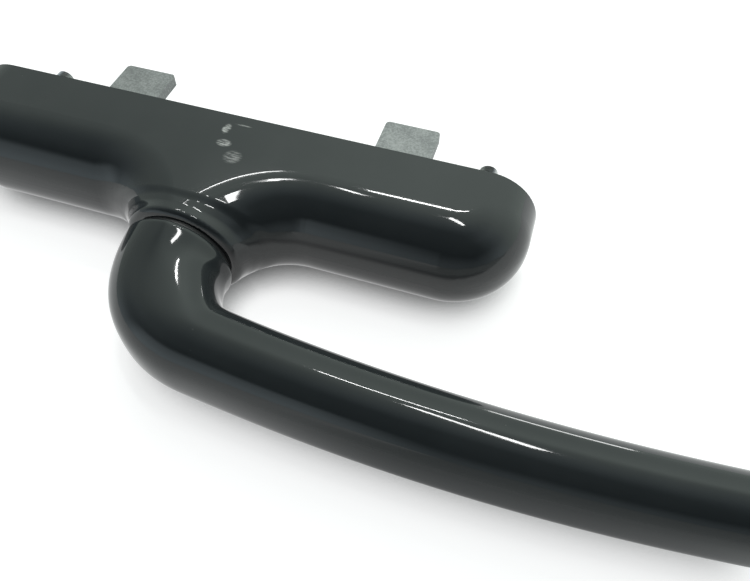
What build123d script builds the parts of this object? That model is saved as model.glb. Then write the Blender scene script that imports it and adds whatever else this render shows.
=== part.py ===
from build123d import *
import math
import os

os.makedirs("parts", exist_ok=True)

# Frame: the mounting face is y = 0 and +Y points into the window sash.
# X runs along the body towards the free end of the lever, Z runs across it.
# The spindle axis is the Y axis.

# Housing, outside
body_length = 160.0
body_width = 28.0
body_depth = 27.2
body_side_flat = 1.0
end_extra_r = 6.0
neck_reach = 36.0
neck_swell = 0.3
neck_flare = 25.0
neck_lip_r = 1.8

# Housing, inside
rim_wall = 2.3
plate_ledge = 1.4
floor_corner_r = 2.0
core_depth = 11.0
core_half_width = 7.0
core_start = 13.5
end_core_depth = 12.0
end_core_wall = 3.0
end_core_start = 59.5
end_rib = 2.5
end_core_corner_r = 0.6

# Back plate and its screws
plate_length = 116.0
plate_t = 2.0
plate_gap = 0.1
plate_screw_end_x = 53.6
plate_screw_side_x = 42.0
plate_screw_side_z = 7.4
plate_screw_d = 3.0
plate_screw_length = 8.0
plate_screw_head_d = 5.4
plate_screw_boss_d = 5.6
tap_gap = 0.05
drive_slot_w = 0.7
drive_slot_depth = 0.8

# Fixing studs
stud_d = 5.0
stud_spacing = 130.0
stud_out = 15.0
stud_root_d = 6.0
stud_in = 10.0
stud_tip = 0.5
stud_boss_d = 11.0

# Rack and pinion
tooth_module = 1.0
pinion_teeth = 14
pressure_angle = 25.0
tooth_root_gap = 0.25
tooth_backlash = 0.16
lever_range = 180.0
layer_gap = 0.3
rack_t = 6.0
rack_back_gap = 0.3
rack_overrun = 7.0
block_low_side = 3.5

# Tongues
tongue_centre = 41.2
tongue_width = 15.8
tongue_t = 3.0
tongue_out = 24.6
tongue_corner_r = 1.2
slot_gap = 0.5
block_margin = 1.0

# Detent disc, balls and springs
disc_r = 9.9
disc_t = 2.8
disc_gap = 0.35
detent_circle_r = 8.0
ball_d = 4.0
ball_gap = 0.1
track_depth = 0.7
dimple_extra = 0.4
dimple_step = 90.0
spring_d = 3.5
spring_wire = 0.5
spring_turns = 5.0
spring_length = 6.6
spring_gap = 0.05

# Spindle, its ring and its bush
spindle_square = 7.0
spindle_fit = 0.03
spindle_chamfer = 0.6
spindle_bore_d = 10.6
ring_t = 1.0
ring_inner_d = 8.2
ring_outer_d = 11.0
ring_groove_d = 8.1
ring_groove_w = 1.1
ring_opening = 3.4
ring_gap = 0.05
spigot_d = 15.0
spigot_end_gap = 2.3
bush_running_gap = 0.05
bush_wall = 1.7
bush_web = 2.9
bush_fit = 0.02
flange_d = 24.4
flange_t = 0.9
seam_gap = 0.3

# Lever
collar_inset = 0.5
collar_flat = 0.5
lever_neck_t = 1.5
lever_lip_r = 1.2
bend_r = 21.0
bend_start = 0.5
bend_ease = 1.3
grip_lean = 7.25
grip_sweep_r = 503.0
grip_length = 114.0
grip_root_half = 9.5
grip_root_half_z = 11.1
grip_root_corner = 8.8
grip_tip_half = 7.5
grip_tip_half_z = 11.0
grip_tip_corner = 7.2
grip_end_length = 8.0
grip_end_r = 7.0
socket_depth = 15.0
socket_fit = 0.04

# Modelling
pick_tolerance = 0.01
bend_sections = 5
grip_sections = 5

# Derived sizes
body_edge_r = (body_width - body_side_flat) / 2
body_end_r = body_edge_r + end_extra_r
neck_half = body_width / 2 + neck_swell
pitch_r = tooth_module * pinion_teeth / 2
tip_r = pitch_r + tooth_module
root_r = pitch_r - tooth_module - tooth_root_gap
tooth_pitch = math.pi * tooth_module
rack_travel = pitch_r * math.radians(lever_range)
recess_half = body_width / 2 - rim_wall
pocket_half = recess_half - plate_ledge
rack_rear_y = -plate_t - layer_gap
rack_front_y = rack_rear_y - rack_t
floor_y = rack_front_y - layer_gap
pocket_end = tongue_centre + tongue_width / 2 + block_margin + slot_gap
disc_rear_y = floor_y
disc_front_y = disc_rear_y - disc_t
disc_floor_y = disc_front_y - disc_gap
ball_y = disc_front_y + track_depth - ball_gap - ball_d / 2
spring_rear_y = ball_y - ball_d / 2 - spring_gap
detent_floor_y = spring_rear_y - spring_length - spring_gap
gear_rear_y = rack_rear_y - ring_t - ring_gap
spindle_rear_y = -plate_t - layer_gap
bush_length = neck_reach + detent_floor_y - bush_web
bush_outer_d = spigot_d + 2 * bush_running_gap + 2 * bush_wall
lever_face_y = -neck_reach - flange_t - seam_gap
spigot_length = bush_length + flange_t + seam_gap - spigot_end_gap
lever_neck_half = neck_half - collar_inset
lever_neck_corner = lever_neck_half - collar_flat


def along_y(sketch, start, end):
    # Prism of a sketch drawn in X and Z, from y = start to y = end.
    low = min(start, end)
    return extrude(Plane.XZ.offset(-low) * sketch, -abs(end - start))


def rod_y(diameter, start, end, x=0.0, z=0.0):
    return along_y(Pos(x, z) * Circle(diameter / 2), start, end)


def half_turn(solid):
    return Rot(0, 180, 0) * solid


def body_outline():
    half = body_length / 2
    flare = math.radians(neck_flare)
    sweep_r = (neck_reach - body_depth) / (1 - math.sin(flare))
    run = sweep_r * math.cos(flare)
    with BuildSketch(Plane.XY) as plan:
        with BuildLine():
            back = Line((0, 0), (half, 0))
            end = Line(back @ 1, (half, body_end_r - body_depth))
            corner = TangentArc(end @ 1, (half - body_end_r, -body_depth), tangent=end % 1)
            front = Line(corner @ 1, (neck_half + run, -body_depth))
            sweep = TangentArc(front @ 1, (neck_half, -neck_reach), tangent=front % 1)
            Line(sweep @ 1, (0, -neck_reach))
            mirror(about=Plane.YZ)
        make_face()
    return plan.sketch


def housing_outside():
    block = extrude(body_outline(), body_width / 2, both=True)
    sides = block.edges().filter_by(lambda e: abs(abs(e.center().Z) - body_width / 2) < pick_tolerance)
    long_edges = sides.filter_by(lambda e: -neck_reach + pick_tolerance < e.center().Y < -pick_tolerance)
    block = fillet(long_edges, body_edge_r)
    seam = block.faces().sort_by(Axis.Y)[0]
    return fillet(seam.outer_wire().edges(), neck_lip_r)


def plate_outline(shrink):
    width = 2 * (recess_half - shrink)
    return SlotOverall(plate_length - 2 * shrink, width)


def end_core():
    outline = RectangleRounded(body_length, body_width, body_edge_r)
    inside = offset(outline, -end_core_wall)
    reach = body_length / 2 - end_core_start
    window = Pos(end_core_start + reach / 2, 0) * Rectangle(reach, body_width)
    boss = Pos(stud_spacing / 2, 0) * Circle(stud_boss_d / 2)
    rib = Pos(end_core_start + reach / 2, 0) * Rectangle(reach, end_rib)
    core = (inside & window) - boss - rib
    core = along_y(core, 0, -end_core_depth)
    upright = core.edges().filter_by(Axis.Y)
    return fillet(upright.filter_by(lambda e: e.center().X > stud_spacing / 2), end_core_corner_r)


def mechanism_pocket():
    outline = RectangleRounded(2 * pocket_end, 2 * pocket_half, floor_corner_r)
    side = Pos(plate_screw_side_x, -plate_screw_side_z) * Circle(plate_screw_boss_d / 2)
    foot_z = (plate_screw_side_z + pocket_half) / 2
    foot_h = pocket_half - plate_screw_side_z
    foot = Pos(plate_screw_side_x, -foot_z) * Rectangle(plate_screw_boss_d, foot_h)
    boss = side + foot
    return along_y(outline - boss - Rot(0, 0, 180) * boss, 0, floor_y)


def centre_core():
    length = pocket_end - core_start
    outline = RectangleRounded(length, 2 * core_half_width, floor_corner_r)
    return along_y(Pos(core_start + length / 2, 0) * outline, floor_y, floor_y - core_depth)


def screw_spots():
    spots = [(plate_screw_end_x, 0), (plate_screw_side_x, -plate_screw_side_z)]
    return spots + [(-x, -z) for x, z in spots]


def body_housing():
    body = housing_outside()
    body -= along_y(plate_outline(0), 0, -plate_t)
    body -= mechanism_pocket()
    body -= centre_core()
    body -= half_turn(centre_core())
    body -= end_core()
    body -= half_turn(end_core())
    body -= rod_y(2 * (disc_r + disc_gap), floor_y, disc_floor_y)
    body -= rod_y(spindle_bore_d, disc_floor_y, -neck_reach)
    body -= rod_y(bush_outer_d + 2 * bush_fit, -neck_reach, bush_length - neck_reach)
    for side in (-1, 1):
        pocket_x = side * detent_circle_r
        body -= rod_y(ball_d + 2 * ball_gap, disc_floor_y, detent_floor_y, x=pocket_x)
        stud_x = side * stud_spacing / 2
        body -= rod_y(stud_root_d + 2 * tap_gap, 0, -stud_in - tap_gap, x=stud_x)
    for x, z in screw_spots():
        end = -plate_screw_length - tap_gap
        body -= rod_y(plate_screw_d + 2 * tap_gap, -plate_t, end, x=x, z=z)
    return body


def back_plate():
    plate = along_y(plate_outline(plate_gap), 0, -plate_t)
    slot_in = tongue_centre - tongue_width / 2 - rack_travel - slot_gap
    slot_out = tongue_centre + tongue_width / 2 + slot_gap
    slot = RectangleRounded(slot_out - slot_in, tongue_t + 2 * slot_gap, tongue_corner_r)
    for side in (-1, 1):
        plate -= along_y(Pos(side * (slot_in + slot_out) / 2, 0) * slot, 0, -plate_t)
    for x, z in screw_spots():
        plate -= screw_body(2 * tap_gap).moved(Pos(x, 0, z))
    return plate


def screw_body(grow):
    head_r = (plate_screw_head_d + grow) / 2
    shank_r = (plate_screw_d + grow) / 2
    cone_end = head_r - shank_r
    head = Pos(0, -cone_end / 2, 0) * Rot(90, 0, 0) * Cone(head_r, shank_r, cone_end)
    return head + rod_y(2 * shank_r, -cone_end, -plate_screw_length)


def plate_screw():
    screw = screw_body(0)
    span = plate_screw_d
    cross = Rectangle(span, drive_slot_w) + Rectangle(drive_slot_w, span)
    return screw - along_y(cross, 0, -drive_slot_depth)


def back_plate_screws():
    return [plate_screw().moved(Pos(x, 0, z)) for x, z in screw_spots()]


def fixing_stud():
    stud = rod_y(stud_d, 0, stud_out) + rod_y(stud_root_d, 0, -stud_in)
    rims = stud.edges().filter_by(GeomType.CIRCLE).sort_by(Axis.Y)
    return chamfer([rims[0], rims[-1]], stud_tip)


def fixing_studs():
    half = stud_spacing / 2
    return [fixing_stud().moved(Pos(x, 0, 0)) for x in (-half, half)]


def involute_point(radius, turn):
    base_r = pitch_r * math.cos(math.radians(pressure_angle))
    roll = math.sqrt(max((radius / base_r) ** 2 - 1, 0))
    angle = roll - math.atan(roll) + turn
    return (radius * math.sin(angle), radius * math.cos(angle))


def tooth_face():
    slope = math.radians(pressure_angle)
    half_angle = (tooth_pitch - tooth_backlash) / (4 * pitch_r)
    lead = -(half_angle + math.tan(slope) - slope)
    base_r = pitch_r * math.cos(slope)
    mid_r = (base_r + tip_r) / 2
    flank = [involute_point(r, lead) for r in (base_r, (base_r + mid_r) / 2, mid_r, tip_r)]
    foot_r = root_r - tooth_root_gap
    foot = (foot_r * math.sin(lead), foot_r * math.cos(lead))
    with BuildSketch() as tooth:
        with BuildLine():
            left = Line(foot, flank[0])
            rise = Spline(*flank)
            top = ThreePointArc(rise @ 1, (0, tip_r), (-flank[-1][0], flank[-1][1]))
            fall = Spline(*[(-x, z) for x, z in reversed(flank)])
            right = Line(fall @ 1, (-foot[0], foot[1]))
            Line(right @ 1, left @ 0)
        make_face()
    return tooth.sketch


def drive_pinion():
    step = 360 / pinion_teeth
    outline = Circle(root_r)
    for i in range(pinion_teeth):
        outline += Rot(0, 0, i * step) * tooth_face()
    gear = along_y(outline, gear_rear_y, disc_rear_y)
    pinion = gear + rod_y(2 * disc_r, disc_rear_y, disc_front_y)
    groove_r = ball_d / 2 + ball_gap
    track = Pos(0, ball_y, 0) * Rot(90, 0, 0) * Torus(detent_circle_r, groove_r)
    pinion -= track
    for i in range(round(360 / dimple_step)):
        dimple = Pos(detent_circle_r, ball_y + dimple_extra, 0) * Sphere(groove_r)
        pinion -= Rot(0, i * dimple_step, 0) * dimple
    square = spindle_square + 2 * spindle_fit
    return pinion - along_y(Rectangle(square, square), gear_rear_y, disc_front_y)


def rack_teeth(count):
    slope = math.tan(math.radians(pressure_angle))
    half = tooth_pitch / 4 - tooth_backlash / 4
    root = tooth_module + tooth_root_gap
    wide = half + root * slope
    thin = half - tooth_module * slope
    shape = [(-wide, pitch_r + root), (-thin, pitch_r - tooth_module)]
    shape += [(thin, pitch_r - tooth_module), (wide, pitch_r + root)]
    tooth = make_face(Polyline(*shape, close=True))
    first = -math.floor(rack_overrun / tooth_pitch - 0.5) - 0.5
    return [Pos((first + i) * tooth_pitch, 0) * tooth for i in range(count)]


def right_rack_slider():
    root_z = pitch_r + tooth_module + tooth_root_gap
    back_z = pocket_half - rack_back_gap
    block_in = tongue_centre - tongue_width / 2 - block_margin
    block_out = tongue_centre + tongue_width / 2 + block_margin
    bar_length = block_in + rack_overrun
    bar = Pos(block_in - bar_length / 2, (root_z + back_z) / 2) * Rectangle(bar_length, back_z - root_z)
    block_h = back_z + block_low_side
    block_z = (back_z - block_low_side) / 2
    block = Pos((block_in + block_out) / 2, block_z) * Rectangle(block_out - block_in, block_h)
    outline = bar + block
    for tooth in rack_teeth(math.floor((rack_travel + 2 * rack_overrun) / tooth_pitch)):
        outline += tooth
    slider = along_y(outline, rack_rear_y, rack_front_y)
    upright = slider.edges().filter_by(Axis.Y)
    slider = fillet(upright.filter_by(lambda e: e.center().X > block_out - pick_tolerance), floor_corner_r)
    tongue = Pos(tongue_centre, 0) * Rectangle(tongue_width, tongue_t)
    tongue = along_y(tongue, rack_rear_y, tongue_out)
    corners = tongue.edges().filter_by(Axis.Z).filter_by(lambda e: e.center().Y > tongue_out - pick_tolerance)
    tongue = fillet(corners, tongue_corner_r)
    return slider + tongue


def left_rack_slider():
    return half_turn(right_rack_slider())


def detent_balls():
    return [Pos(side * detent_circle_r, ball_y, 0) * Sphere(ball_d / 2) for side in (-1, 1)]


def detent_spring():
    mean_r = (spring_d - spring_wire) / 2
    rise = spring_length - spring_wire
    coil = Helix(rise / spring_turns, rise, mean_r)
    start = coil @ 0
    across = Plane(start, x_dir=(start.X, start.Y, 0), z_dir=coil % 0)
    spring = sweep(across * Rectangle(spring_wire, spring_wire), path=coil, is_frenet=True)
    front = spring_rear_y - spring_length + spring_wire / 2
    return Pos(0, front, 0) * Rot(-90, 0, 0) * spring


def detent_springs():
    return [detent_spring().moved(Pos(side * detent_circle_r, 0, 0)) for side in (-1, 1)]


def spindle():
    front = lever_face_y - socket_depth + 2 * socket_fit
    bar = along_y(Rectangle(spindle_square, spindle_square), spindle_rear_y, front)
    ends = bar.faces().filter_by(Axis.Y).edges()
    bar = chamfer(ends, spindle_chamfer)
    groove_y = gear_rear_y + ring_t / 2 + ring_gap / 2
    outer = rod_y(2 * spindle_square, groove_y - ring_groove_w / 2, groove_y + ring_groove_w / 2)
    inner = rod_y(ring_groove_d, groove_y - ring_groove_w / 2, groove_y + ring_groove_w / 2)
    return bar - (outer - inner)


def retaining_ring():
    outline = Circle(ring_outer_d / 2) - Circle(ring_inner_d / 2)
    outline -= Pos(ring_outer_d / 2, 0) * Rectangle(ring_outer_d, ring_opening)
    return along_y(outline, gear_rear_y + ring_gap / 2, gear_rear_y + ring_gap / 2 + ring_t)


def bearing_bush():
    inner_d = spigot_d + 2 * bush_running_gap
    top = -neck_reach - bush_fit
    bush = rod_y(bush_outer_d, top, bush_length - neck_reach - bush_fit)
    bush += rod_y(flange_d, top, -neck_reach - flange_t)
    return bush - rod_y(inner_d, -neck_reach - flange_t, bush_length)


def grip_section(x, y, heading, half, half_z, corner):
    # Rounded rectangle across the lever's centre line at (x, y).
    ahead = (math.cos(heading), math.sin(heading), 0)
    across = (-math.sin(heading), math.cos(heading), 0)
    plane = Plane(origin=(x, y, 0), x_dir=across, z_dir=ahead)
    return plane * RectangleRounded(2 * half, 2 * half_z, corner)


def blend(start, end, share):
    return start + (end - start) * share


def lever_sections():
    sections = []
    straight_down = -math.pi / 2
    neck_y = lever_face_y - lever_neck_t
    bend_y = neck_y - bend_start
    neck = (lever_neck_half, lever_neck_half, lever_neck_corner)
    root = (grip_root_half, grip_root_half_z, grip_root_corner)
    tip = (grip_tip_half, grip_tip_half_z, grip_tip_corner)
    sections.append(grip_section(0, neck_y, straight_down, *neck))
    turn = math.pi / 2 - math.radians(grip_lean)
    for i in range(1, bend_sections + 1):
        share = i / bend_sections
        angle = share * turn
        x = bend_r * (1 - math.cos(angle))
        y = bend_y - bend_r * math.sin(angle)
        size = [blend(a, b, share**bend_ease) for a, b in zip(neck, root)]
        sections.append(grip_section(x, y, straight_down + angle, *size))
    heading = straight_down + turn
    centre_x = x - grip_sweep_r * math.sin(heading)
    centre_y = y + grip_sweep_r * math.cos(heading)
    for i in range(1, grip_sections + 1):
        share = i / grip_sections
        ahead = heading + share * grip_length / grip_sweep_r
        x = centre_x + grip_sweep_r * math.sin(ahead)
        y = centre_y - grip_sweep_r * math.cos(ahead)
        size = [blend(a, b, share) for a, b in zip(root, tip)]
        sections.append(grip_section(x, y, ahead, *size))
    return sections


def lever():
    sections = lever_sections()
    grip = loft(sections)
    end = extrude(sections[-1], grip_end_length)
    rim = end.faces().sort_by(Axis.X)[-1]
    end = fillet(rim.edges(), grip_end_r)
    collar = extrude(sections[0], -lever_neck_t)
    face = collar.faces().sort_by(Axis.Y)[-1]
    collar = fillet(face.edges(), lever_lip_r)
    spigot = rod_y(spigot_d, lever_face_y - lever_neck_t, lever_face_y + spigot_length)
    arm = grip + end + collar + spigot
    square = spindle_square + 2 * socket_fit
    return arm - along_y(Rectangle(square, square), lever_face_y + spigot_length, lever_face_y - socket_depth)


def save(name, shape):
    pieces = shape if isinstance(shape, list) else [shape]
    solids = [solid for piece in pieces for solid in piece.solids()]
    whole = solids[0] if len(solids) == 1 else Compound(children=solids)
    whole.label = name
    export_step(whole, f"parts/{name}.step")


save("body_housing", body_housing())
save("back_plate", back_plate())
save("back_plate_screws", back_plate_screws())
save("fixing_studs", fixing_studs())
save("drive_pinion", drive_pinion())
save("right_rack_slider", right_rack_slider())
save("left_rack_slider", left_rack_slider())
save("detent_balls", detent_balls())
save("detent_springs", detent_springs())
save("spindle", spindle())
save("retaining_ring", retaining_ring())
save("bearing_bush", bearing_bush())
save("lever", lever())
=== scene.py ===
import math

import bmesh
import bpy
from mathutils import Matrix, Vector


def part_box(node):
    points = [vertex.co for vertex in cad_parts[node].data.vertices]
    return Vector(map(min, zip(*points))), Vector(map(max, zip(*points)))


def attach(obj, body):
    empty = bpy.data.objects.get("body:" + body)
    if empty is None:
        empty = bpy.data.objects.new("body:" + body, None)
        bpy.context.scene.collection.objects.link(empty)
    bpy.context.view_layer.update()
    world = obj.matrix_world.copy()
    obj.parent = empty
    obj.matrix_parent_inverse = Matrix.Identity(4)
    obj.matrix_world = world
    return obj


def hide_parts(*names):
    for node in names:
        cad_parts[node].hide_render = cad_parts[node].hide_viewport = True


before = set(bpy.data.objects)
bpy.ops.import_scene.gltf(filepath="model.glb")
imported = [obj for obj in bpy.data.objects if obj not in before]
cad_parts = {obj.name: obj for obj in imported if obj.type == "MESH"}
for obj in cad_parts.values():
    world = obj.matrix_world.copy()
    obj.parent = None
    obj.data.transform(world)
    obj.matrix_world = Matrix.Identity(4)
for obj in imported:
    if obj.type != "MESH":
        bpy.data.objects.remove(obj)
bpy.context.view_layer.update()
print("frame loaded:", ", ".join(sorted(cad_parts)))


class Wire:
    # one output socket; arithmetic on it adds Math nodes
    def __init__(self, tree, socket=None):
        self.tree = tree
        self.socket = socket

    def node(self, kind, settings=None, sockets=None, output=0):
        made = self.tree.nodes.new(kind)
        for name, value in (settings or {}).items():
            setattr(made, name, value)
        for name, value in (sockets or {}).items():
            if isinstance(value, Wire):
                self.tree.links.new(value.socket, made.inputs[name])
            else:
                made.inputs[name].default_value = value
        return Wire(self.tree, made.outputs[output] if made.outputs else None)

    def maths(self, operation, first, second):
        return self.node("ShaderNodeMath", {"operation": operation}, {0: first, 1: second})

    def __add__(self, other):
        return self.maths("ADD", self, other)

    __radd__ = __add__

    def __sub__(self, other):
        return self.maths("SUBTRACT", self, other)

    def __rsub__(self, other):
        return self.maths("SUBTRACT", other, self)

    def __mul__(self, other):
        return self.maths("MULTIPLY", self, other)

    __rmul__ = __mul__

    def __truediv__(self, other):
        return self.maths("DIVIDE", self, other)

    def __rtruediv__(self, other):
        return self.maths("DIVIDE", other, self)

    def atLeast(self, least):
        return self.maths("MAXIMUM", self, least)

    def between(self, low, high):  # 0 at low, 1 at high, smooth in between
        settings = {"interpolation_type": "SMOOTHSTEP"}
        return self.node("ShaderNodeMapRange", settings, {"Value": self, "From Min": low, "From Max": high})

    def mix(self, first, second):  # self is the share of the second; 6, 7 and 2 are the colour sockets
        settings = {"data_type": "RGBA"}
        return self.node("ShaderNodeMix", settings, {"Factor": self, 6: first, 7: second}, output=2)


def newMaterial(name):
    material = bpy.data.materials.new(name)
    material.use_nodes = True
    material.node_tree.nodes.clear()
    start = Wire(material.node_tree)
    place = start.node("ShaderNodeTexCoord", output="Object")
    return material, start, place


def finishMaterial(start, shader):
    start.node("ShaderNodeOutputMaterial", None, {"Surface": shader})


def finishPrincipled(start, sockets):
    finishMaterial(start, start.node("ShaderNodeBsdfPrincipled", None, sockets))


def axesOf(start, place, axes):
    return [start.node("ShaderNodeSeparateXYZ", None, {"Vector": place}, output=axis) for axis in axes]


def noise(start, place, scale, detail=2.0, rough=0.5):
    sockets = {"Vector": place, "Scale": scale, "Detail": detail, "Roughness": rough}
    return start.node("ShaderNodeTexNoise", None, sockets)


def stretchedNoise(start, place, stretch, detail=2.0, rough=0.5):
    mapped = start.node("ShaderNodeMapping", None, {"Vector": place, "Scale": stretch})
    return noise(start, mapped, 1.0, detail, rough)


def bump(start, height, strength, distance, under=None):
    sockets = {"Height": height, "Strength": strength, "Distance": distance}
    if under is not None:
        sockets["Normal"] = under
    return start.node("ShaderNodeBump", None, sockets)


def spread(pattern, middle, width):  # a pattern from 0 to 1, moved to lie about middle
    return pattern * width + (middle - width / 2)


scuffs = {
    "patches": [  # centre x and y, half sizes, strength; on the side that faces up
        (-0.0002, -0.0055, 0.0012, 0.0020, 1.0),
        (0.0014, -0.0106, 0.0022, 0.0014, 0.8),
        (0.0055, -0.0146, 0.0026, 0.0025, 0.35),
        (0.0034, -0.0032, 0.0026, 0.0003, 0.5),
    ],
    "edge": (0.15, 1.1),  # a patch is full inside the first and gone past the second
    "stretch": (350, 2200, 500),
    "detail": 4.0,
    "fineness": 0.7,
    "scratches": (0.38, 0.60),
    "rise": (0.0130, 0.0138),
}
neckRing = {
    "dip": -0.0004,  # shallow ring behind the neck's lip
    "front": (-0.0350, -0.0322),  # y where it begins and where it is full
    "back": (-0.0280, -0.0308),
}
enamel = {
    "colour": (0.0215, 0.0250, 0.0270, 1),
    "pale": (0.0255, 0.0290, 0.0310, 1),
    "scuff": (0.42, 0.43, 0.41, 1),
    "clouds": (60.0, 3.0),  # scale and detail of a noise
    "cloudRange": (0.35, 0.7),
    "roughness": 0.06,
    "cloudRough": 0.03,  # spread of the roughness
    "wornRough": 0.4,  # added on scuffs and dust
    "ior": 1.5,
    "peel": (900.0, 1.0),
    "peelStrength": 0.02,
    "peelHeight": 0.0001,
    "dust": 0.25,
    "speckScale": 420.0,
    "speckSize": (0.03, 0.07),
    "dustPatches": (90.0, 2.0),
    "dustRange": (0.62, 0.72),
}


def scuffMask(start, place):
    across, depth, rise = axesOf(start, place, "XYZ")
    patches = []
    for x, y, halfX, halfY, strength in scuffs["patches"]:
        spanX = (across - x) / halfX
        spanY = (depth - y) / halfY
        patches.append((1 - (spanX * spanX + spanY * spanY).between(*scuffs["edge"])) * strength)
    lines = stretchedNoise(start, place, scuffs["stretch"], scuffs["detail"], scuffs["fineness"])
    return sum(patches) * lines.between(*scuffs["scratches"]) * rise.between(*scuffs["rise"])


def ringBump(start, place):
    depth = axesOf(start, place, "Y")[0]
    height = depth.between(*neckRing["front"]) * depth.between(*neckRing["back"]) * neckRing["dip"]
    return bump(start, height, 1.0, 1.0)


def makeEnamel(name, onBody):
    material, start, place = newMaterial(name)
    clouds = noise(start, place, *enamel["clouds"])
    tint = clouds.between(*enamel["cloudRange"]).mix(enamel["colour"], enamel["pale"])
    specks = start.node("ShaderNodeTexVoronoi", None, {"Vector": place, "Scale": enamel["speckScale"]})
    dusty = noise(start, place, *enamel["dustPatches"]).between(*enamel["dustRange"])
    worn = (1 - specks.between(*enamel["speckSize"])) * dusty * enamel["dust"]
    under = None
    if onBody:
        worn = worn + scuffMask(start, place)
        under = ringBump(start, place)
    peel = noise(start, place, *enamel["peel"])
    finishPrincipled(start, {
        "Base Color": worn.mix(tint, enamel["scuff"]),
        "Roughness": spread(clouds, enamel["roughness"], enamel["cloudRough"]) + worn * enamel["wornRough"],
        "Normal": bump(start, peel, enamel["peelStrength"], enamel["peelHeight"], under),
        "IOR": enamel["ior"],
    })
    return material


zinc = {  # raw casting
    "colour": (0.17, 0.18, 0.18, 1),
    "pale": (0.30, 0.315, 0.31, 1),
    "fine": (1800, 1800, 1800),  # scale of the fine pattern along x, y and z
    "fineShare": 0.6,
    "blotches": (220.0, 3.0),  # scale and detail
    "range": (0.35, 0.68),
    "roughness": 0.48,
    "roughSpread": 0.2,
    "bump": 0.12,
    "bumpHeight": 0.0002,
    "metallic": 0.6,
}
plating = {  # zinc plate with faint rolling lines
    "colour": (0.52, 0.53, 0.53, 1),
    "pale": (0.68, 0.69, 0.68, 1),
    "fine": (60, 900, 900),
    "fineShare": 0.5,
    "blotches": (140.0, 4.0),
    "range": (0.35, 0.65),
    "roughness": 0.36,
    "roughSpread": 0.2,
    "bump": 0.05,
    "bumpHeight": 0.0001,
    "metallic": 1.0,
}
steel = {  # drawn wire and bar, lines along y
    "colour": (0.42, 0.42, 0.41, 1),
    "pale": (0.60, 0.60, 0.59, 1),
    "fine": (1600, 90, 1600),
    "range": (0.3, 0.7),
    "roughness": 0.255,
    "roughSpread": 0.15,
    "metallic": 1.0,
}
nylon = {
    "colour": (0.008, 0.008, 0.009, 1),
    "pale": (0.018, 0.018, 0.019, 1),
    "fine": (1500, 1500, 1500),
    "range": (0.3, 0.7),
    "roughness": 0.5,
    "bump": 0.1,
    "bumpHeight": 0.0001,
    "metallic": 0.0,
}


def makeBare(name, look):
    material, start, place = newMaterial(name)
    fine = stretchedNoise(start, place, look["fine"])
    pattern = blotches = fine  # for a finish without blotches
    if "blotches" in look:
        blotches = noise(start, place, *look["blotches"])
        pattern = fine * look["fineShare"] + blotches * (1 - look["fineShare"])
    sockets = {
        "Base Color": pattern.between(*look["range"]).mix(look["colour"], look["pale"]),
        "Roughness": look["roughness"],
        "Metallic": look["metallic"],
    }
    if "roughSpread" in look:
        sockets["Roughness"] = spread(blotches, look["roughness"], look["roughSpread"])
    if "bump" in look:
        sockets["Normal"] = bump(start, fine, look["bump"], look["bumpHeight"])
    finishPrincipled(start, sockets)
    return material


finishes = {
    "enamel": makeEnamel("glossEnamel", False),
    "wornEnamel": makeEnamel("wornEnamel", True),
    "zinc": makeBare("rawZinc", zinc),
    "plating": makeBare("zincPlating", plating),
    "steel": makeBare("brightSteel", steel),
    "nylon": makeBare("blackNylon", nylon),
}
finishOf = {
    "wornEnamel": ["body_housing"],
    "enamel": ["lever"],
    "zinc": ["right_rack_slider", "left_rack_slider", "drive_pinion"],
    "plating": ["back_plate", "back_plate_screws", "fixing_studs"],
    "steel": ["spindle", "retaining_ring", "detent_balls", "detent_springs"],
    "nylon": ["bearing_bush"],
}


def dressNodes():
    for finish, names in finishOf.items():
        for name in names:
            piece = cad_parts[name]
            piece.data.materials.clear()
            piece.data.materials.append(finishes[finish])


dressNodes()
print("finishes on")

leverShape = {
    "seam": 0.0003,  # between the bush flange and the collar
    "collar": (0.0138, 0.0138, 0.0133),  # half across, half high, corner radius
    "collarDepth": 0.0015,
    "lip": 0.0012,
    "lipSteps": 3,
    "spigotRadius": 0.0075,
    "spigotLength": 0.0105,
    "bendStart": 0.0005,
    "bendRadius": 0.021,
    "bendEase": 1.3,  # how late the bend narrows
    "heightEase": 3.0,  # how early it gets lower
    "bendSquare": 0.0025,  # the corners get smaller by this in the middle of the bend
    "lean": math.radians(7.25),
    "root": (0.0095, 0.0111, 0.0088),
    "tip": (0.0075, 0.0110, 0.0072),
    "sweepRadius": 0.503,
    "gripLength": 0.114,
    "endLength": 0.008,
    "endRound": 0.007,
    "endSteps": 6,
    "bendRings": 12,
    "gripRings": 9,
    "cornerSteps": 4,
    "smoothing": 2,
}


def sizeBetween(start, end, share):
    return [a + (b - a) * share for a, b in zip(start, end)]


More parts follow.
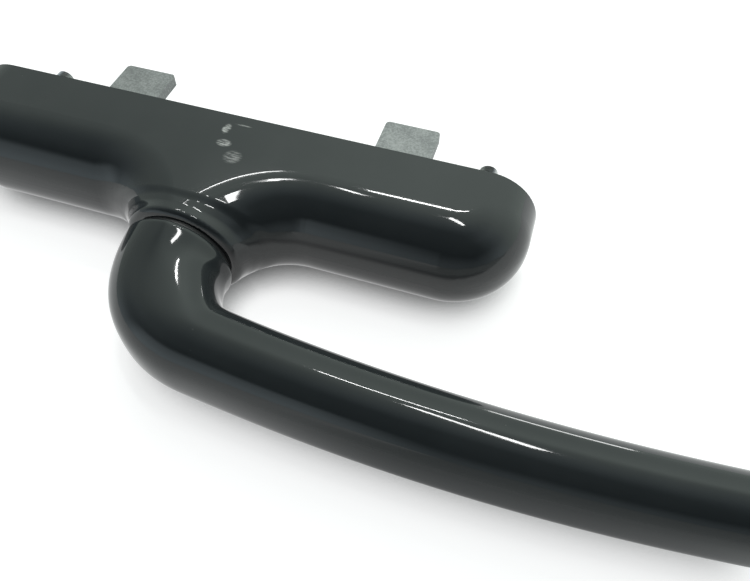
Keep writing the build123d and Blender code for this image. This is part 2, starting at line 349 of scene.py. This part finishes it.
def leverRings():
    shape = leverShape
    collar, root, tip = shape["collar"], shape["root"], shape["tip"]
    bend, sweep = shape["bendRadius"], shape["sweepRadius"]
    down = -math.pi / 2
    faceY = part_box("bearing_bush")[0][1] - shape["seam"]
    bendY = faceY - shape["collarDepth"] - shape["bendStart"]
    rings = [(0, faceY, down, collar), (0, faceY - shape["collarDepth"], down, collar)]
    turn = math.pi / 2 - shape["lean"]
    for i in range(1, shape["bendRings"] + 1):
        share = i / shape["bendRings"]
        x = bend * (1 - math.cos(share * turn))
        y = bendY - bend * math.sin(share * turn)
        half, _, corner = sizeBetween(collar, root, share ** shape["bendEase"])
        halfHigh = root[1] + (collar[1] - root[1]) * (1 - share) ** shape["heightEase"]
        corner -= shape["bendSquare"] * math.sin(math.pi * share) ** 2
        rings.append((x, y, down + share * turn, (half, halfHigh, corner)))
    heading = down + turn
    middleX = x - sweep * math.sin(heading)
    middleY = y + sweep * math.cos(heading)
    for i in range(1, shape["gripRings"] + 1):
        share = i / shape["gripRings"]
        ahead = heading + share * shape["gripLength"] / sweep
        x = middleX + sweep * math.sin(ahead)
        y = middleY - sweep * math.cos(ahead)
        rings.append((x, y, ahead, sizeBetween(root, tip, share)))
    x += shape["endLength"] * math.cos(ahead)
    y += shape["endLength"] * math.sin(ahead)
    rings.append((x, y, ahead, tip))
    return rings


def addRing(x, y, heading, size):
    half, halfHigh, corner = size
    bpy.ops.mesh.select_all(action="DESELECT")
    bpy.ops.mesh.primitive_plane_add(size=2)
    bpy.ops.transform.resize(value=(half, halfHigh, 1))
    bpy.ops.mesh.bevel(affect="VERTICES", offset=corner, segments=leverShape["cornerSteps"])
    bpy.ops.transform.rotate(value=math.pi / 2, orient_axis="X", center_override=(0, 0, 0))
    bpy.ops.transform.rotate(value=-(heading + math.pi / 2), orient_axis="Z", center_override=(0, 0, 0))
    bpy.ops.transform.translate(value=(x, y, 0))
    bpy.ops.mesh.delete(type="ONLY_FACE")


def pickCap(piece, alongY):  # the many-sided face at the collar, 1, or at the free end, -1
    bpy.ops.mesh.select_all(action="DESELECT")
    shell = bmesh.from_edit_mesh(piece.data)
    caps = [face for face in shell.faces if len(face.verts) > 4]
    chosen = max(caps, key=lambda face: face.calc_center_median().y * alongY)
    chosen.select = True
    bmesh.update_edit_mesh(piece.data)


def makeLever(paint):
    shape = leverShape
    bpy.ops.object.select_all(action="DESELECT")
    bpy.ops.mesh.primitive_plane_add(size=1, enter_editmode=True)
    piece = bpy.context.object
    piece.name = "paintedLever"
    bpy.ops.mesh.delete(type="VERT")
    for ring in leverRings():
        addRing(*ring)
    bpy.ops.mesh.select_all(action="SELECT")
    bpy.ops.mesh.bridge_edge_loops()
    bpy.ops.mesh.select_all(action="SELECT")
    bpy.ops.mesh.fill_holes(sides=0)
    pickCap(piece, -1)
    bpy.ops.mesh.bevel(affect="EDGES", offset=shape["endRound"], segments=shape["endSteps"])
    pickCap(piece, 1)
    bpy.ops.mesh.bevel(affect="EDGES", offset=shape["lip"], segments=shape["lipSteps"])
    pickCap(piece, 1)
    bpy.ops.mesh.inset(thickness=shape["collar"][0] - shape["lip"] - shape["spigotRadius"])
    bpy.ops.mesh.extrude_region_move(TRANSFORM_OT_translate={"value": (0, shape["spigotLength"], 0)})
    bpy.ops.mesh.select_all(action="SELECT")
    bpy.ops.mesh.normals_make_consistent(inside=False)
    bpy.ops.object.mode_set(mode="OBJECT")
    smooth = piece.modifiers.new("smooth", "SUBSURF")
    smooth.levels = shape["smoothing"]
    smooth.render_levels = shape["smoothing"]
    bpy.ops.object.modifier_apply(modifier=smooth.name)
    bpy.ops.object.shade_smooth()
    piece.data.materials.append(paint)
    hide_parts("lever")
    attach(piece, "lever_set")
    return piece


lever = makeLever(finishes["enamel"])
lever.visible_glossy = False  # the body doesn't mirror it
print("lever shaped:", len(lever.data.polygons), "faces")

studShape = {
    "radius": 0.0025,
    "core": 0.00204,
    "pitch": 0.0008,
    "turns": 16,
    "sides": 24,
    "rootRadius": 0.0030,  # plain end inside the body
    "shank": 0.0016,  # plain length in front of the thread
    "tipShare": 0.8,  # how far the end tapers
    "smoothAngle": math.radians(25),
}


def addRod(radius, start, end, tipRadius):
    bpy.ops.mesh.primitive_cone_add(
        vertices=studShape["sides"], radius1=radius, radius2=tipRadius, depth=end - start,
        location=(0, (start + end) / 2, 0), rotation=(-math.pi / 2, 0, 0))


def makeStuds(plate):
    shape = studShape
    pitch, core, radius, shank = shape["pitch"], shape["core"], shape["radius"], shape["shank"]
    weld = pitch / 100
    crestY = shank + pitch / 2
    low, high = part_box("fixing_studs")
    bpy.ops.object.select_all(action="DESELECT")
    bpy.ops.mesh.primitive_plane_add(size=pitch, enter_editmode=True)
    piece = bpy.context.object
    piece.name = "threadedStuds"
    bpy.ops.mesh.subdivide(number_cuts=1)
    shell = bmesh.from_edit_mesh(piece.data)
    for corner in shell.verts:  # one edge of the plane stays, as two halves of a tooth
        corner.select_set(corner.co.x > -pitch / 4)
    shell.select_flush(True)
    bpy.ops.mesh.delete(type="VERT")
    bpy.ops.mesh.select_all(action="SELECT")
    bpy.ops.transform.translate(value=(core + pitch / 2, crestY, 0))
    bpy.ops.mesh.select_all(action="DESELECT")
    shell = bmesh.from_edit_mesh(piece.data)
    crest = min(shell.verts, key=lambda corner: abs(corner.co.y - crestY))
    crest.select_set(True)
    bpy.ops.transform.translate(value=(radius - core, 0, 0))
    bpy.ops.object.mode_set(mode="OBJECT")
    thread = piece.modifiers.new("thread", "SCREW")
    thread.axis = "Y"
    thread.screw_offset = pitch
    thread.iterations = shape["turns"]
    thread.steps = shape["sides"]
    thread.render_steps = shape["sides"]
    thread.use_merge_vertices = True
    thread.merge_threshold = weld
    bpy.ops.object.modifier_apply(modifier=thread.name)
    bpy.ops.object.mode_set(mode="EDIT")
    bpy.ops.mesh.select_all(action="SELECT")
    bpy.ops.mesh.remove_doubles(threshold=weld)
    bpy.ops.mesh.fill_holes(sides=0)
    addRod(shape["rootRadius"], low[1], 0, shape["rootRadius"])
    addRod(radius, -pitch, shank + pitch, radius)
    addRod(core, shank + shape["turns"] * pitch, high[1], core * shape["tipShare"])
    bpy.ops.mesh.select_all(action="SELECT")
    bpy.ops.mesh.normals_make_consistent(inside=False)
    bpy.ops.transform.translate(value=(low[0] + shape["rootRadius"], 0, 0))
    spacing = high[0] - low[0] - 2 * shape["rootRadius"]
    bpy.ops.mesh.duplicate_move(TRANSFORM_OT_translate={"value": (spacing, 0, 0)})
    bpy.ops.object.mode_set(mode="OBJECT")
    bpy.ops.object.shade_smooth_by_angle(angle=shape["smoothAngle"])
    piece.data.materials.append(plate)
    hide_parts("fixing_studs")
    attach(piece, "base")
    return piece


studs = makeStuds(finishes["plating"])
print("studs threaded:", len(studs.data.polygons), "faces")

table = {
    "height": -0.01405,
    "size": 6.0,
    "colour": (0.42, 0.43, 0.43, 1),
    "haze": (0.40, 0.41, 0.41, 1),
    "hazeScale": 3.0,
    "lift": 0.80,  # extra white where the camera sees the table
    "paintedGlossGlow": 0.70,  # and painted light where gloss shows it, behind the lever
    "behind": (-0.08, -0.05),
    "paintedGlossGlowFront": 0.20,
    "paintedGlossGlowLeft": 0.45,  # painted light for gloss added in front, on the left
    "left": (0.0, 0.07),
    "paintedShadowReach": 0.010,  # reach of the painted contact shadow, a dark line under the handle
    "paintedShadowFade": 0.75,
    "paintedShadowRays": 8,
}


def makeTable():
    bpy.ops.object.select_all(action="DESELECT")
    bpy.ops.mesh.primitive_plane_add(size=table["size"], location=(0, 0, table["height"]))
    top = bpy.context.object
    top.name = "tableTop"
    material, start, place = newMaterial("paleTable")
    tint = noise(start, place, table["hazeScale"]).mix(table["colour"], table["haze"])
    flat = start.node("ShaderNodeBsdfDiffuse", None, {"Color": tint})
    camera = start.node("ShaderNodeLightPath", output="Is Camera Ray")
    gloss = start.node("ShaderNodeLightPath", output="Is Glossy Ray")
    across, depth = axesOf(start, place, "XY")
    # painted reflection: the table glows for glossy rays only, less in front of the handle than behind it
    front = (1 - across.between(*table["left"])) * table["paintedGlossGlowLeft"] + table["paintedGlossGlowFront"]
    paintedGlossGlow = front + depth.between(*table["behind"]) * (table["paintedGlossGlow"] - front)
    # painted shadow: ambient occlusion dims the white that the camera sees on the table near the handle
    rays = {"samples": table["paintedShadowRays"]}
    paintedShadowAO = start.node("ShaderNodeAmbientOcclusion", rays, {"Distance": table["paintedShadowReach"]}, output="AO")
    lift = camera * table["lift"] * paintedShadowAO.between(0.0, table["paintedShadowFade"]) + gloss * paintedGlossGlow
    glow = start.node("ShaderNodeEmission", None, {"Strength": lift})
    finishMaterial(start, start.node("ShaderNodeAddShader", None, {0: flat, 1: glow}))
    top.data.materials.append(material)


room = {  # each pair is where a part of the room starts and where it is full
    "backdrop": (1.0, 1.0, 1.0, 1),  # what the camera sees past the table
    "backColour": (0.88, 1.0, 0.92, 1),
    "frontColour": (0.86, 1.0, 1.06, 1),
    "back": 1.36,  # level behind the handle
    "backDepth": (-0.73, 0.60),
    "farLoss": 0.35,  # share of it lost low behind
    "far": (0.60, 0.95),
    "leftLoss": 0.58,  # share of it lost on the left
    "left": (0.09, 0.63),
    "rightLoss": 0.13,
    "right": (0.1, 0.8),
    "topLoss": 0.32,
    "top": (0.7, 1.0),
    "front": 0.45,  # low light from the viewer's side
    "frontRise": (0.04, 0.54),
    "frontDepth": (-0.3, 0.3),
    "pane": 0.62,  # paler area on the viewer's left
    "paneLeft": (0.0, 0.35),
    "paneRise": (0.38, 0.56),
    "paneDepth": (-0.6, -0.3),
    "least": 0.02,
}


def makeRoom():
    world = bpy.data.worlds.new("room")
    bpy.context.scene.world = world
    world.use_nodes = True
    world.node_tree.nodes.clear()
    start = Wire(world.node_tree)
    heading = start.node("ShaderNodeTexCoord", output="Generated")
    across, depth, rise = axesOf(start, heading, "XYZ")
    toLeft = -1 * across
    back = depth.between(*room["backDepth"]) * room["back"]
    back = back * (1 - depth.between(*room["far"]) * room["farLoss"])
    back = back * (1 - toLeft.between(*room["left"]) * room["leftLoss"])
    toBack = depth.between(*room["frontDepth"])
    front = (1 - rise.between(*room["frontRise"])) * (1 - toBack) * room["front"]
    pane = toLeft.between(*room["paneLeft"]) * (1 - rise.between(*room["paneRise"]))
    pane = pane * (1 - depth.between(*room["paneDepth"])) * room["pane"]
    losses = rise.between(*room["top"]) * room["topLoss"] + across.between(*room["right"]) * room["rightLoss"]
    level = (back + front + pane - losses).atLeast(room["least"])
    colour = toBack.mix(room["frontColour"], room["backColour"])
    light = start.node("ShaderNodeBackground", None, {"Color": colour, "Strength": level})
    plain = start.node("ShaderNodeBackground", None, {"Color": room["backdrop"], "Strength": 1.0})
    camera = start.node("ShaderNodeLightPath", output="Is Camera Ray")
    seen = start.node("ShaderNodeMixShader", None, {0: camera, 1: light, 2: plain})
    start.node("ShaderNodeOutputWorld", None, {"Surface": seen})


lamps = {  # skips: a piece that the lamp leaves out; only: the one piece that it lights
    "nearTube": {"place": (0.10, 0.12, 1.0), "size": (0.31, 0.05), "radiance": 30},
    "farTube": {"place": (-0.06, 0.61, 1.0), "size": (0.30, 0.03), "radiance": 62},
    "sideTube": {
        "place": (-0.50, 0.75, 1.0), "size": (0.18, 0.06), "radiance": 32, "skips": "paintedLever"},
    "shoulderPane": {
        "place": (-0.222, 0.345, 1.0), "size": (0.025, 0.08), "radiance": 36, "skips": "paintedLever"},
    "backWindow": {
        "place": (0.22, 0.92, 0.12), "size": (0.20, 0.08), "radiance": 9, "only": "paintedLever"},
    "softbox": {"place": (0.3, 0.6, 1.6), "size": (1.2, 1.2), "radiance": 0.9, "shines": False},
}


def linkLamp(light, pieceName, state):
    linked = bpy.data.collections.new(light.name + "Link")
    linked.objects.link(bpy.data.objects[pieceName])
    linked.collection_objects[0].light_linking.link_state = state
    light.light_linking.receiver_collection = linked


def makeLamps():
    for name, lamp in lamps.items():
        data = bpy.data.lights.new(name, "AREA")
        data.shape = "RECTANGLE"
        data.size, data.size_y = lamp["size"]
        data.energy = lamp["radiance"] * math.pi * data.size * data.size_y  # in watts
        light = bpy.data.objects.new(name, data)
        bpy.context.scene.collection.objects.link(light)
        light.location = lamp["place"]
        light.rotation_euler = (-Vector(lamp["place"])).to_track_quat("-Z", "Y").to_euler()
        light.visible_glossy = lamp.get("shines", True)
        for key, state in (("skips", "EXCLUDE"), ("only", "INCLUDE")):
            if key in lamp:
                linkLamp(light, lamp[key], state)


view = {
    "pixels": (750, 581),
    "focal": 670.99,  # in pixels
    "azimuth": 0.2904,
    "elevation": 0.9385,
    "roll": 0.0200,
    "distance": 0.18382,
    "origin": (244.46, 156.10),  # pixel of the frame's origin
    "sensor": 36,
    "nearest": 0.01,
}


def makeCamera():
    az, el, roll = view["azimuth"], view["elevation"], view["roll"]
    level = Vector((math.cos(az), math.sin(az), 0))
    back = Vector((math.sin(az) * math.cos(el), -math.cos(az) * math.cos(el), math.sin(el)))
    upright = back.cross(level)
    right = level * math.cos(roll) + upright * math.sin(roll)
    up = upright * math.cos(roll) - level * math.sin(roll)
    width, height = view["pixels"]
    away = view["distance"]
    across = (view["origin"][0] - width / 2) / view["focal"] * away
    above = (height / 2 - view["origin"][1]) / view["focal"] * away
    data = bpy.data.cameras.new("photoCamera")
    data.sensor_fit = "HORIZONTAL"
    data.sensor_width = view["sensor"]
    data.lens = view["sensor"] * view["focal"] / width
    data.clip_start = view["nearest"]
    camera = bpy.data.objects.new("photoCamera", data)
    bpy.context.scene.collection.objects.link(camera)
    turn = Matrix((right, up, back)).transposed().to_4x4()
    camera.matrix_world = Matrix.Translation(back * away - right * across - up * above) @ turn
    bpy.context.scene.camera = camera


makeTable()
makeRoom()
makeLamps()
makeCamera()
bpy.context.scene.view_settings.view_transform = "Standard"
print("stage, lamps and camera ready")
